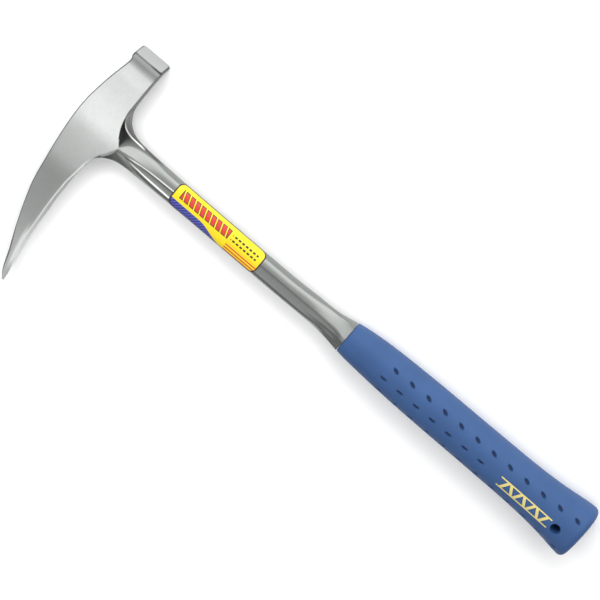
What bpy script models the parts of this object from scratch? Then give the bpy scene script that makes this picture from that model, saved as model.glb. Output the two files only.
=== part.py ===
"""Long-handled rock hammer, lying on its side as it rests on a bench.

Head, shank and tang are one steel forging: a square striking poll, a curved pick drawn to a point, and a
fullered shank whose tang runs inside a moulded vinyl grip. A sticker on the shank and a foil stamp on the
grip are the only other pieces.

Sizes are in millimetres along the hammer's own axes, and become metres in one place, in world():
  s  down the handle, from the crown of the head (0) to the butt
  p  along the head, from the handle's axis (0) to the striking face (+) or the pick (-)
  z  across the cheeks, from the forging's parting plane (0)
Sections are lists of (s, p, z) points. Outlines are curves through a few (place, size) pairs.
"""

import math

import bmesh
import bpy
from mathutils import Matrix, Vector

MM = 0.001

# Overall sizes
LENGTH = 419.7
FACE_P = 60.0
TIP_P = -129.5

# Head
CHEEK_HALF = 9.1
POLL_HALF = 9.3
POLL_TOP = 6.6
POLL_CHAMFER = 1.0
POLL_START = FACE_P - POLL_CHAMFER
COLLAR_P = 57.4
FLARE_END = 46.0
EDGE_RADIUS = 0.8
NOSE_P = 0.8
NOSE_S = 36.4
CROWN = ((-129.5, 28.0), (-123, 24.5), (-113, 21.4), (-103, 18.5), (-93.5, 15.6), (-84, 12.8),
         (-74.8, 10.1), (-65.7, 7.7), (-57, 5.6), (-48, 4.2), (-39, 3.2), (-30.4, 2.2), (-21.8, 1.35),
         (-13, 0.65), (-4, 0.15), (4, 0.0), (15, 0.55), (23, 1.6), (31.6, 3.0), (40, 4.7), (46, 6.1),
         (50, 7.0), (54, 7.5), (COLLAR_P, POLL_TOP), (POLL_START, POLL_TOP))
UNDER_PICK = ((-129.5, 29.5), (-124, 29.2), (-116, 28.0), (-108, 26.8), (-100, 25.5), (-92, 24.6),
              (-84, 24.0), (-75, 23.7), (-66, 23.3), (-58, 23.1), (-50, 23.2), (-42, 23.4), (-37, 23.9),
              (-31, 24.8), (-24, 25.7), (-18.4, 26.8), (-12.3, 28.9), (-7.9, 31.6), (NOSE_P, NOSE_S))
UNDER_POLL = ((NOSE_P, NOSE_S), (7.3, 32.2), (13.3, 29.5), (19, 28.1), (26, 27.3), (40, 27.5),
              (48, 27.8), (54, 28.2), (COLLAR_P, 28.9), (POLL_START, 28.9))
THICKNESS = ((-129.5, 0.6), (-122, 2.1), (-112, 4.0), (-100, 5.8), (-84, 7.5), (-66, 8.6), (-50, 9.0),
             (-36, CHEEK_HALF), (40, CHEEK_HALF), (47, 8.75), (51, 8.6), (54, 8.8), (COLLAR_P, POLL_HALF),
             (POLL_START, POLL_HALF))
CORNER = ((-129.5, 0.3), (-120, 1.3), (-108, 1.9), (-98, 1.5), (-88, EDGE_RADIUS), (50, EDGE_RADIUS), (COLLAR_P, 1.2), (FACE_P, 1.2))

# Shank: half-widths toward the poll and toward the pick, half-thickness, and how round the section is
NECK_START = 14.0
MOUTH = 224.3
COLLAR = MOUTH - 0.3
POLL_WIDTH = ((14, 30), (24, 28), (27, 23.5), (28.9, 18.8), (31.8, 14.6), (34.9, 12.4), (37.9, 11.0),
              (41, 10.3), (45, 9.8), (57, 8.9), (70, 8.4), (95, 7.9), (142, 7.6), (172, 7.5), (184, 7.9),
              (194, 8.4), (208, 8.8), (216, 9.6), (COLLAR, 10.9))
PICK_WIDTH = ((14, 24), (24, 22), (26.3, 19.0), (28.9, 15.0), (31.8, 13.3), (34.9, 11.9), (37.9, 11.0),
              (41, 10.5), (45, 10.2), (57, 9.6), (70, 9.2), (95, 8.8), (130, 8.9), (172, 9.1), (186, 8.9),
              (200, 8.8), (210, 9.3), (216, 9.8), (COLLAR, 10.7))
RIDGE = ((14, 8.6), (30, 8.9), (36, 8.6), (40, 7.9), (46, 6.9), (56, 6.1), (70, 5.7), (100, 5.6),
         (190, 5.6), (208, 6.0), (COLLAR, 8.2))
ROUNDNESS = 2.6
CREASE = ((14, 8.0), (26, 8.0), (29, 7.6), (31.8, 6.0), (34.9, 4.7), (37.9, 3.5), (42, 2.2), (48, 0.9),
          (56, 0.3), (190, 0.3), (204, 0.8), (214, 2.6), (COLLAR, 4.6))
FORGED_BLEND = ((14, 1.0), (36, 1.0), (46, 0.72), (58, 0.3), (72, 0.0), (188, 0.0), (210, 0.45),
                (COLLAR, 0.8))
NOSE_POLL = ((14, 26), (24, 24), (27.1, 19.5), (29, 12.9), (31.8, 7.0), (36.4, 0.8), (COLLAR, 0.6))
NOSE_PICK = ((14, 21), (24, 19), (26.5, 17.6), (28.4, 11.9), (31.3, 7.6), (36.4, 0.8), (COLLAR, 0.6))
BAND_SHARE = 0.25
NOSE_SHARE = 0.125
FLANK_POWER = 1.5
OUTER_DRAFT = 0.08

# Fuller: the groove along both sides of the shank
FULLER_P = -1.4
FULLER_HALF = ((42, 0.7), (50, 1.6), (62, 2.5), (82, 2.9), (110, 3.4), (200, 3.6), (216, 3.7), (222, 3.0))
FULLER_DEPTH = ((42, 0.0), (50, 0.5), (62, 0.9), (84, 0.9), (120, 0.5), (205, 0.45), (215, 0.7), (221.5, 0.0))
FULLER_POWER = 2.5

# Tang and grip
TANG_END = 392.0
TANG_WIDTH = ((COLLAR, 7.6), (300, 7.0), (TANG_END, 6.2))
TANG_HALF = ((COLLAR, 4.6), (300, 4.2), (TANG_END, 3.8))
TANG_ROUNDNESS = 4.0
CLEARANCE = 0.3
GRIP_WIDTH = ((MOUTH, 11.2), (228.6, 11.8), (235, 12.5), (247.6, 13.4), (260, 14.0), (273, 14.4),
              (298, 14.8), (324, 14.9), (349, 15.1), (362, 15.2), (374.5, 15.6), (387, 16.3),
              (400, 17.7), (412, 19.3), (LENGTH, 19.8))
GRIP_HALF = ((MOUTH, 9.9), (235, 11.2), (260, 12.6), (298, 13.2), (349, 13.4), (374.5, 13.8),
             (400, 15.0), (412, 15.9), (LENGTH, 16.0))
GRIP_CENTRE = ((MOUTH, 0.3), (250, 0.8), (400, 0.8), (LENGTH, 0.3))
GRIP_ROUNDNESS = 2.3
LIP_RADIUS = 1.0
BUTT_RADIUS = 4.4
BUTT_DOME = 0.6
BUTT_FLAT = 0.4
HOLE_S = 402.8
HOLE_P = -1.6
HOLE_RADIUS = 3.4
HOLE_REACH = 26.0

# Recesses in the grip: rows of (first place, number, share of the half-width where the row lies, lean)
RECESS_PITCH = 13.5
RECESS_LONG = 5.0
RECESS_WIDE = 2.4
RECESS_DEEP = 1.3
SLOPE_STEP = 0.5
RECESS_ROWS = ((261.7, 12, 0.63, -25), (258.6, 7, -0.03, 0), (260.5, 12, -0.7, 25))

# Sticker and stamp
LABEL_START = 80.4
LABEL_END = 152.6
LABEL_ANGLES = (-0.06, math.pi - 0.58)
LABEL_CORNER = 6.0
LABEL_GAP = 0.2
LABEL_THICK = 0.25
STAMP_START = 358.0
STAMP_STEP = 5.4
STAMP_COUNT = 8
STAMP_P = -1.6
STAMP_HEIGHT = 7.6
STAMP_RULE = 0.9
STAMP_BAR = 2.2
STAMP_GAP = 0.15
STAMP_THICK = 0.2

# How finely the shapes are cut into faces. Each run is (where it ends, number of steps)
HALF_RING = (5, 3, 3, 5)
GRIP_RING = 32
CORNER_STEPS = 2
TANG_STEPS = 4
LABEL_STEPS = (10, 12)
SHANK_RUNS = ((26, 3), (46, 16), (84, 12), (190, 5), (212, 6), (COLLAR, 8))
HEAD_RUNS = ((-84, 12), (-20, 12), (NOSE_P, 9), (20, 8), (FLARE_END, 4), (COLLAR_P, 7), (POLL_START, 1))
GRIP_RUNS = ((228.3, 1), (360, 14), (LENGTH - BUTT_RADIUS - BUTT_DOME, 8))
BUTT_STEPS = 4
BAR_CUTS = 3
COLORS = {
    "forged_steel": (0.62, 0.63, 0.62),
    "blue_vinyl": (0.07, 0.15, 0.42),
    "label_film": (0.95, 0.80, 0.05),
    "gold_foil": (0.85, 0.68, 0.25),
}

# The hammer rests on the butt's rim and on the poll's upper corner, so it leans by a fraction of a degree
RIM_S = 416.5
REST_TILT = math.atan2(GRIP_HALF[-1][1] - POLL_HALF, RIM_S - POLL_TOP)


def world():
    """Places the design axes on the bench: +X down the handle, +Y to the striking face, +Z up."""
    lift = POLL_HALF * math.cos(REST_TILT) - POLL_TOP * math.sin(REST_TILT)
    rest = Matrix.Rotation(-REST_TILT, 4, "Y")
    middle = Vector((-LENGTH / 2, -(FACE_P + TIP_P) / 2, lift))
    return Matrix.Translation(middle * MM) @ rest @ Matrix.Scale(MM, 4)


def smooth(points, x):
    """Value at x of a curve through the points. It is smooth and never rises above or dips below them."""
    if x <= points[0][0]:
        return points[0][1]
    for i in range(len(points) - 1):
        if x <= points[i + 1][0]:
            break
    else:
        return points[-1][1]
    x0, y0 = points[i]
    x1, y1 = points[i + 1]
    step = x1 - x0
    slope = (y1 - y0) / step
    before = tangent(points, i, slope)
    after = tangent(points, i + 1, slope)
    t = (x - x0) / step
    rise = (3 - 2 * t) * t * t
    return y0 + (y1 - y0) * rise + step * t * (1 - t) * ((1 - t) * before - t * after)


def tangent(points, i, end_slope):
    """Slope of the curve at point i: the harmonic mean of its neighbours' slopes, or none at a peak."""
    if i == 0 or i == len(points) - 1:
        return end_slope
    left = (points[i][1] - points[i - 1][1]) / (points[i][0] - points[i - 1][0])
    right = (points[i + 1][1] - points[i][1]) / (points[i + 1][0] - points[i][0])
    return 2 * left * right / (left + right) if left * right > 0 else 0.0


def spread(low, high, count):
    return [low + (high - low) * i / count for i in range(count + 1)]


def stations(start, runs):
    """Places along an axis, cut into runs that follow on from each other."""
    places = [start]
    for end, count in runs:
        places += spread(places[-1], end, count)[1:]
    return places


def power(value, exponent):
    return math.copysign(abs(value) ** exponent, value)


# ---- Shank and tang -------------------------------------------------------------------------------


def shank_angles(s):
    """Angles of the section's points from the poll side round to the pick side, set on the fuller's edges."""
    half = smooth(FULLER_HALF, s)
    marks = [0.0]
    for p in (FULLER_P + half, FULLER_P, FULLER_P - half):
        width = smooth(POLL_WIDTH if p > 0 else PICK_WIDTH, s)
        marks.append(math.acos(power(p / width, ROUNDNESS / 2)))
    marks.append(math.pi)
    angles = [0.0]
    for low, high, count in zip(marks, marks[1:], HALF_RING):
        angles += spread(low, high, count)[1:]
    return angles


def section_point(s, angle):
    """(p, z) of the shank's near side without its groove: a blend of a rounded and a creased section."""
    to_poll = angle <= math.pi / 2
    width = smooth(POLL_WIDTH if to_poll else PICK_WIDTH, s)
    side = 1 if to_poll else -1
    ridge = smooth(RIDGE, s)
    round_p = width * abs(math.cos(angle)) ** (2 / ROUNDNESS)
    round_z = ridge * abs(math.sin(angle)) ** (2 / ROUNDNESS)

    crease = smooth(CREASE, s)
    nose = smooth(NOSE_POLL if to_poll else NOSE_PICK, s)
    part = 1 - abs(1 - angle / (math.pi / 2))
    if part < BAND_SHARE:
        sharp_z = crease * part / BAND_SHARE
        sharp_p = width - OUTER_DRAFT * sharp_z
    elif part < 1 - NOSE_SHARE:
        t = (part - BAND_SHARE) / (1 - NOSE_SHARE - BAND_SHARE)
        sharp_z = crease + (ridge - crease) * t**FLANK_POWER
        sharp_p = (width - OUTER_DRAFT * crease) * (1 - t) + nose * t
    else:
        sharp_z = ridge
        sharp_p = nose * (1 - part) / NOSE_SHARE

    blend = smooth(FORGED_BLEND, s)
    p = side * (blend * sharp_p + (1 - blend) * round_p)
    return p, blend * sharp_z + (1 - blend) * round_z


def shank_point(s, angle):
    """(p, z) of the shank's near side, with the fuller sunk into it."""
    p, z = section_point(s, angle)
    across = abs(p - FULLER_P) / smooth(FULLER_HALF, s)
    if across < 1:
        z -= smooth(FULLER_DEPTH, s) * (1 - across**FULLER_POWER)
    return p, z


def mirrored(s, near):
    """A whole ring of points from its near side: the far side is its mirror image."""
    far = [(p, -z) for p, z in reversed(near[1:-1])]
    return [(s, p, z) for p, z in near + far]


def oval(s, width, half, roundness, centre, count):
    ring = []
    for i in range(count):
        angle = 2 * math.pi * i / count
        p = centre + width * power(math.cos(angle), 2 / roundness)
        ring.append((s, p, half * power(math.sin(angle), 2 / roundness)))
    return ring


def tang_ring(s, extra, count):
    width = smooth(TANG_WIDTH, s) + extra
    half = smooth(TANG_HALF, s) + extra
    return oval(s, width, half, TANG_ROUNDNESS, 0.0, count)


def build_shank():
    count = 2 * sum(HALF_RING)
    rings = []
    for s in stations(NECK_START, SHANK_RUNS):
        near = [shank_point(s, angle) for angle in shank_angles(s)]
        rings.append(mirrored(s, near))
    rings += [tang_ring(s, 0.0, count) for s in spread(COLLAR, TANG_END, TANG_STEPS)]
    return solid_loft(rings)


# ---- Head -----------------------------------------------------------------------------------------


def rounded_box(p, top, under, half, radius):
    """A ring round the head at p: a rectangle from top to under with its four corners rounded."""
    ring = []
    corners = ((under, half, 0), (top, half, 90), (top, -half, 180), (under, -half, 270))
    for s, z, start in corners:
        centre_s = s - math.copysign(radius, s - (top + under) / 2)
        centre_z = z - math.copysign(radius, z)
        for i in range(CORNER_STEPS + 1):
            angle = math.radians(start + 90 * i / CORNER_STEPS)
            ring.append((centre_s + radius * math.cos(angle), p, centre_z + radius * math.sin(angle)))
    return ring


def head_ring(p, inset=0.0):
    under = UNDER_PICK if p < NOSE_P else UNDER_POLL
    top_s = smooth(CROWN, p) + inset
    under_s = smooth(under, p) - inset
    half = smooth(THICKNESS, p) - inset
    return rounded_box(p, top_s, under_s, half, smooth(CORNER, p))


def build_head():
    rings = [head_ring(p) for p in stations(TIP_P, HEAD_RUNS)]
    return solid_loft(rings + [head_ring(FACE_P, POLL_CHAMFER)])


# ---- Grip -----------------------------------------------------------------------------------------


def grip_ring(s, inset=0.0):
    width = smooth(GRIP_WIDTH, s) - inset
    half = smooth(GRIP_HALF, s) - inset
    return oval(s, width, half, GRIP_ROUNDNESS, smooth(GRIP_CENTRE, s), GRIP_RING)


def grip_height(s, p):
    """Height of the grip's near side above the parting plane."""
    across = abs(p - smooth(GRIP_CENTRE, s)) / smooth(GRIP_WIDTH, s)
    return smooth(GRIP_HALF, s) * (1 - across**GRIP_ROUNDNESS) ** (1 / GRIP_ROUNDNESS)


def grip_slope(s, p):
    rise = grip_height(s, p + SLOPE_STEP) - grip_height(s, p - SLOPE_STEP)
    return rise / (2 * SLOPE_STEP)


def build_grip_body():
    rings = [grip_ring(MOUTH, LIP_RADIUS)]
    rings += [grip_ring(s) for s in stations(MOUTH + LIP_RADIUS, GRIP_RUNS)]
    for angle in spread(0, math.pi / 2, BUTT_STEPS)[1:]:
        s = LENGTH - BUTT_DOME - BUTT_RADIUS * (1 - math.sin(angle))
        rings.append(grip_ring(s, BUTT_RADIUS * (1 - math.cos(angle))))
    rings.append([(LENGTH, BUTT_FLAT * p, BUTT_FLAT * z) for _, p, z in rings[-1]])
    return solid_loft(rings)


def build_pocket():
    """Room for the tang, a little larger all round, opening well clear of the grip's mouth."""
    places = spread(COLLAR, TANG_END + CLEARANCE, TANG_STEPS)
    rings = [tang_ring(s, CLEARANCE, GRIP_RING) for s in places]
    rings.insert(0, [(COLLAR - GRIP_HALF[0][1], p, z) for _, p, z in rings[0]])
    return solid_loft(rings)


def build_hole():
    cutter = bmesh.new()
    bmesh.ops.create_cone(
        cutter,
        cap_ends=True,
        segments=24,
        radius1=HOLE_RADIUS,
        radius2=HOLE_RADIUS,
        depth=2 * HOLE_REACH,
        matrix=Matrix.Translation((HOLE_S, HOLE_P, 0)),
    )
    return cutter


def recess_places():
    """(s, p, lean) of every recess on the near side."""
    for first, number, share, lean in RECESS_ROWS:
        for i in range(number):
            s = first + i * RECESS_PITCH
            yield s, share * smooth(GRIP_WIDTH, s), math.radians(lean)


def build_recesses():
    """Slim ellipsoids sunk into both sides of the grip, as one cutter."""
    cutter = bmesh.new()
    for s, p, lean in recess_places():
        tilt = math.atan(grip_slope(s, p))
        for side in (1, -1):
            place = Matrix.Translation((s, p, side * grip_height(s, p)))
            turn = Matrix.Rotation(side * tilt, 4, "X") @ Matrix.Rotation(lean, 4, "Z")
            size = Matrix.Diagonal((RECESS_LONG / 2, RECESS_WIDE / 2, RECESS_DEEP, 1))
            bmesh.ops.create_uvsphere(
                cutter, u_segments=8, v_segments=4, radius=1, matrix=place @ turn @ size
            )
    return cutter


# ---- Sticker and stamp ----------------------------------------------------------------------------


def offset_section(points, distance):
    """Points of an open section moved outward along their normals."""
    moved_points = []
    for i, (p, z) in enumerate(points):
        p0, z0 = points[max(i - 1, 0)]
        p1, z1 = points[min(i + 1, len(points) - 1)]
        run = math.hypot(p1 - p0, z1 - z0)
        moved_points.append((p + distance * (z1 - z0) / run, z - distance * (p1 - p0) / run))
    return moved_points


def label_row(s, distance):
    """The shank's section at s under the sticker, moved outward. The sticker bridges the fuller."""
    points = []
    for angle in spread(*LABEL_ANGLES, LABEL_STEPS[1]):
        p, z = section_point(s, abs(angle))
        points.append((p, math.copysign(z, angle)))
    return offset_section(points, distance)


def corner_inset(along, length, radius):
    """How far a rounded rectangle's end stands back at a place along that end."""
    reach = radius - min(along, length - along)
    return radius - math.sqrt(radius**2 - reach**2) if reach > 0 else 0.0


def build_label():
    middle = label_row((LABEL_START + LABEL_END) / 2, 0.0)
    along = [0.0]
    for (p0, z0), (p1, z1) in zip(middle, middle[1:]):
        along.append(along[-1] + math.hypot(p1 - p0, z1 - z0))
    shells = []
    for distance in (LABEL_GAP, LABEL_GAP + LABEL_THICK):
        shell = []
        for column, place in enumerate(along):
            inset = corner_inset(place, along[-1], LABEL_CORNER)
            places = spread(LABEL_START + inset, LABEL_END - inset, LABEL_STEPS[0])
            shell.append([(s, *label_row(s, distance)[column]) for s in places])
        shells.append(shell)
    return thick_sheet(*shells)


def thick_sheet(inner, outer):
    """A closed sheet between two matching grids of points."""
    mesh_data = bmesh.new()
    low = [[mesh_data.verts.new(point) for point in row] for row in inner]
    high = [[mesh_data.verts.new(point) for point in row] for row in outer]
    for grid in (low, high):
        for row, after in zip(grid, grid[1:]):
            for i in range(len(row) - 1):
                mesh_data.faces.new((row[i], row[i + 1], after[i + 1], after[i]))
    for inner_edge, outer_edge in zip(border(low), border(high)):
        mesh_data.faces.new((inner_edge[0], inner_edge[1], outer_edge[1], outer_edge[0]))
    bmesh.ops.recalc_face_normals(mesh_data, faces=mesh_data.faces)
    return mesh_data


def border(grid):
    loop = grid[0][:-1] + [row[-1] for row in grid[:-1]]
    loop += grid[-1][:0:-1] + [row[0] for row in grid[:0:-1]]
    return list(zip(loop, loop[1:] + loop[:1]))


def build_stamp():
    """Foil border: two rules joined by a zigzag of bars, lying just off the grip's surface."""
    mesh_data = bmesh.new()
    places = [STAMP_START + i * STAMP_STEP for i in range(STAMP_COUNT)]
    cuts = sorted(s + shift for s in places for shift in (-STAMP_BAR, 0.0, STAMP_BAR))
    levels = [STAMP_P + side * (STAMP_HEIGHT / 2 - inset) for side, inset in
              ((-1, 0.0), (-1, STAMP_RULE), (1, STAMP_RULE), (1, 0.0))]
    rows = [[mesh_data.verts.new((s, p, 0)) for s in cuts] for p in levels]
    for low, high in ((rows[0], rows[1]), (rows[2], rows[3])):
        for i in range(len(cuts) - 1):
            mesh_data.faces.new((low[i], low[i + 1], high[i + 1], high[i]))
    for i in range(STAMP_COUNT - 1):
        start, end = (rows[1], rows[2]) if i % 2 == 0 else (rows[2], rows[1])
        left = start[3 * i + 1 : 3 * i + 3]
        right = end[3 * i + 3 : 3 * i + 5]
        mesh_data.faces.new((left[0], left[1], right[1], right[0]))
    bars = [edge for edge in mesh_data.edges
            if abs(edge.verts[0].co.y - edge.verts[1].co.y) > 2 * STAMP_RULE]
    bmesh.ops.subdivide_edges(mesh_data, edges=bars, cuts=BAR_CUTS, use_grid_fill=True)
    sheet = list(mesh_data.faces)
    copy = bmesh.ops.duplicate(mesh_data, geom=sheet)
    twins = {vert: copy["vert_map"][vert] for face in sheet for vert in face.verts}
    for edge in {edge for face in sheet for edge in face.edges if len(edge.link_faces) == 1}:
        a, b = edge.verts
        mesh_data.faces.new((a, b, twins[b], twins[a]))
    for low, high in twins.items():
        surface = grip_height(low.co.x, low.co.y)
        low.co.z = surface + STAMP_GAP
        high.co.z = surface + STAMP_GAP + STAMP_THICK
    bmesh.ops.recalc_face_normals(mesh_data, faces=mesh_data.faces)
    return mesh_data


# ---- Meshes and objects ---------------------------------------------------------------------------


def solid_loft(rings):
    """A closed solid through the rings, with flat ends."""
    mesh_data = bmesh.new()
    rows = [[mesh_data.verts.new(point) for point in ring] for ring in rings]
    for low, high in zip(rows, rows[1:]):
        for i in range(len(low)):
            j = (i + 1) % len(low)
            mesh_data.faces.new((low[i], low[j], high[j], high[i]))
    mesh_data.faces.new(rows[0])
    mesh_data.faces.new(rows[-1])
    bmesh.ops.recalc_face_normals(mesh_data, faces=mesh_data.faces)
    return mesh_data


def new_object(name, mesh_data, collection):
    """An object in the hammer's place, with its points already on the bench and its scale at one."""
    mesh_data.transform(world())
    mesh = bpy.data.meshes.new(name)
    mesh_data.to_mesh(mesh)
    mesh_data.free()
    mesh.shade_smooth()
    mesh.set_sharp_from_angle(angle=math.radians(30))
    obj = bpy.data.objects.new(name, mesh)
    collection.objects.link(obj)
    return obj


def new_cutter(name, mesh_data, collection):
    cutter = new_object(name, mesh_data, collection)
    cutter.hide_render = True
    cutter.display_type = "WIRE"
    return cutter


def join_or_cut(obj, other, operation):
    modifier = obj.modifiers.new(other.name, "BOOLEAN")
    modifier.operation = operation
    modifier.solver = "EXACT"
    modifier.object = other


def set_material(obj, name, roughness, metallic):
    material = bpy.data.materials.new(name)
    material.use_nodes = True
    shader = material.node_tree.nodes["Principled BSDF"]
    shader.inputs["Base Color"].default_value = (*COLORS[name], 1)
    shader.inputs["Roughness"].default_value = roughness
    shader.inputs["Metallic"].default_value = metallic
    obj.data.materials.append(material)


def new_collection(name):
    collection = bpy.data.collections.new(name)
    bpy.context.scene.collection.children.link(collection)
    return collection


def main():
    for obj in list(bpy.data.objects):
        bpy.data.objects.remove(obj, do_unlink=True)
    parts = new_collection("rock_hammer")
    cutters = new_collection("cutters")

    forging = new_object("steel_forging", build_head(), parts)
    join_or_cut(forging, new_cutter("shank_and_tang", build_shank(), cutters), "UNION")
    set_material(forging, "forged_steel", 0.25, 1.0)

    grip = new_object("grip", build_grip_body(), parts)
    join_or_cut(grip, new_cutter("tang_pocket", build_pocket(), cutters), "DIFFERENCE")
    join_or_cut(grip, new_cutter("lanyard_hole", build_hole(), cutters), "DIFFERENCE")
    join_or_cut(grip, new_cutter("recesses", build_recesses(), cutters), "DIFFERENCE")
    set_material(grip, "blue_vinyl", 0.5, 0.0)

    set_material(new_object("shank_label", build_label(), parts), "label_film", 0.35, 0.0)
    set_material(new_object("grip_emblem", build_stamp(), parts), "gold_foil", 0.3, 1.0)


main()
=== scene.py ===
"""Looks of the rock hammer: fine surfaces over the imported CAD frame, their materials, and a soft studio.

Sizes are in millimetres along the hammer's own axes, as in the CAD. They become metres in place():
  s  down the handle, from the crown of the head (0) to the butt
  p  along the head, from the handle's axis (0) to the striking face (+) or the pick (-)
  z  across the cheeks, from the forging's parting plane (0)
"""

import math

import bmesh
import bpy
import numpy as np
from mathutils import Matrix, Vector


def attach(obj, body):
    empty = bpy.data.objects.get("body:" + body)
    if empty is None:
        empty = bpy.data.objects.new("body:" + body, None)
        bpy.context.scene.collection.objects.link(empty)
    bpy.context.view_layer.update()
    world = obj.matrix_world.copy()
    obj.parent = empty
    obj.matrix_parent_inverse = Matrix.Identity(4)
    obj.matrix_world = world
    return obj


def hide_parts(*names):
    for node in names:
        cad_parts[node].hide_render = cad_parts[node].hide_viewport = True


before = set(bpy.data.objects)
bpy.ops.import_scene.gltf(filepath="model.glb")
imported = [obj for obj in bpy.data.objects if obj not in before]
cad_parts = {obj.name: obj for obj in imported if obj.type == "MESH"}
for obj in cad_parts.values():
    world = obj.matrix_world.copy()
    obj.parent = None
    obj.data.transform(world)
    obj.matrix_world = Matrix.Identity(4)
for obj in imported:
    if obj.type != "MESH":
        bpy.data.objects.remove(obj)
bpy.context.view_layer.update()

MM = 0.001

# Head: the same driving sizes as the CAD, as (p, size) pairs where they change along it
LENGTH = 419.7
FACE_P = 60.0
TIP_P = -129.5
CHEEK_HALF = 9.1
POLL_HALF = 9.3
POLL_TOP = 6.6
POLL_CHAMFER = 1.0
POLL_START = FACE_P - POLL_CHAMFER
COLLAR_P = 57.4
EDGE_RADIUS = 0.8
NOSE_P = 0.8
NOSE_S = 36.4
CROWN = ((-129.5, 28.0), (-123, 24.5), (-113, 21.4), (-103, 18.5), (-93.5, 15.6), (-84, 12.8),
         (-74.8, 10.1), (-65.7, 7.7), (-57, 5.6), (-48, 4.2), (-39, 3.2), (-30.4, 2.2), (-21.8, 1.35),
         (-13, 0.65), (-4, 0.15), (4, 0.0), (15, 0.55), (23, 1.6), (31.6, 3.0), (40, 4.7), (46, 6.1),
         (50, 7.0), (54, 7.5), (COLLAR_P, POLL_TOP), (POLL_START, POLL_TOP))
UNDER_PICK = ((-129.5, 29.5), (-124, 29.2), (-116, 28.0), (-108, 26.8), (-100, 25.5), (-92, 24.6),
              (-84, 24.0), (-75, 23.7), (-66, 23.3), (-58, 23.1), (-50, 23.2), (-42, 23.4), (-37, 23.9),
              (-31, 24.8), (-24, 25.7), (-18.4, 26.8), (-12.3, 28.9), (-7.9, 31.6), (NOSE_P, NOSE_S))
UNDER_POLL = ((NOSE_P, NOSE_S), (7.3, 32.2), (13.3, 29.5), (19, 28.1), (26, 27.3), (40, 27.5),
              (48, 27.8), (54, 28.2), (COLLAR_P, 28.9), (POLL_START, 28.9))
THICKNESS = ((-129.5, 0.6), (-122, 2.1), (-112, 4.0), (-100, 5.8), (-84, 7.5), (-66, 8.6), (-50, 9.0),
             (-36, CHEEK_HALF), (40, CHEEK_HALF), (47, 8.75), (51, 8.6), (54, 8.8), (COLLAR_P, POLL_HALF),
             (POLL_START, POLL_HALF))
CORNER = ((-129.5, 0.3), (-120, 1.3), (-108, 1.9), (-98, 1.5), (-88, EDGE_RADIUS), (50, EDGE_RADIUS),
          (COLLAR_P, 1.2), (FACE_P, 1.2))

# Neck, shank and tang, as (s, size) pairs. The neck starts inside the head and the tang inside the grip
NECK_START = 14.0
MOUTH = 224.3
COLLAR = MOUTH - 0.3
POLL_WIDTH = ((14, 30), (24, 28), (27, 23.5), (28.9, 18.8), (31.8, 14.6), (34.9, 12.4), (37.9, 11.0),
              (41, 10.3), (45, 9.8), (57, 8.9), (70, 8.4), (95, 7.9), (142, 7.6), (172, 7.5), (184, 7.9),
              (194, 8.4), (208, 8.8), (216, 9.6), (COLLAR, 10.9))
PICK_WIDTH = ((14, 24), (24, 22), (26.3, 19.0), (28.9, 15.0), (31.8, 13.3), (34.9, 11.9), (37.9, 11.0),
              (41, 10.5), (45, 10.2), (57, 9.6), (70, 9.2), (95, 8.8), (130, 8.9), (172, 9.1), (186, 8.9),
              (200, 8.8), (210, 9.3), (216, 9.8), (COLLAR, 10.7))
RIDGE = ((14, 8.6), (30, 8.9), (36, 8.6), (40, 7.9), (46, 6.9), (56, 6.1), (70, 5.7), (100, 5.6),
         (190, 5.6), (208, 6.0), (COLLAR, 8.2))
ROUNDNESS = 2.6
CREASE = ((14, 8.0), (26, 8.0), (29, 7.6), (31.8, 6.0), (34.9, 4.7), (37.9, 3.5), (42, 2.2), (48, 0.9),
          (56, 0.3), (190, 0.3), (204, 0.8), (214, 2.6), (COLLAR, 4.6))
FORGED_BLEND = ((14, 1.0), (36, 1.0), (46, 0.72), (58, 0.3), (72, 0.0), (188, 0.0), (210, 0.45),
                (COLLAR, 0.8))
NOSE_POLL = ((14, 26), (24, 24), (27.1, 19.5), (29, 12.9), (31.8, 7.0), (36.4, 0.8), (COLLAR, 0.6))
NOSE_PICK = ((14, 21), (24, 19), (26.5, 17.6), (28.4, 11.9), (31.3, 7.6), (36.4, 0.8), (COLLAR, 0.6))
BAND_SHARE = 0.25
NOSE_SHARE = 0.125
FLANK_POWER = 1.5
OUTER_DRAFT = 0.08
FULLER_P = -1.4
FULLER_HALF = ((42, 0.7), (50, 1.6), (62, 2.5), (82, 2.9), (110, 3.4), (200, 3.6), (216, 3.7), (222, 3.0))
FULLER_DEPTH = ((42, 0.0), (50, 0.5), (62, 0.9), (84, 0.9), (120, 0.5), (205, 0.45), (215, 0.7), (221.5, 0.0))
FULLER_POWER = 2.5
BEAD_HEIGHT = ((42, 0.0), (48, 0.16), (84, 0.16), (100, 0.0), (200, 0.0))
BEAD_HALF = 0.45
TANG_END = 392.0
TANG_WIDTH = ((COLLAR, 7.6), (300, 7.0), (TANG_END, 6.2))
TANG_HALF = ((COLLAR, 4.6), (300, 4.2), (TANG_END, 3.8))
TANG_ROUNDNESS = 4.0

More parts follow.
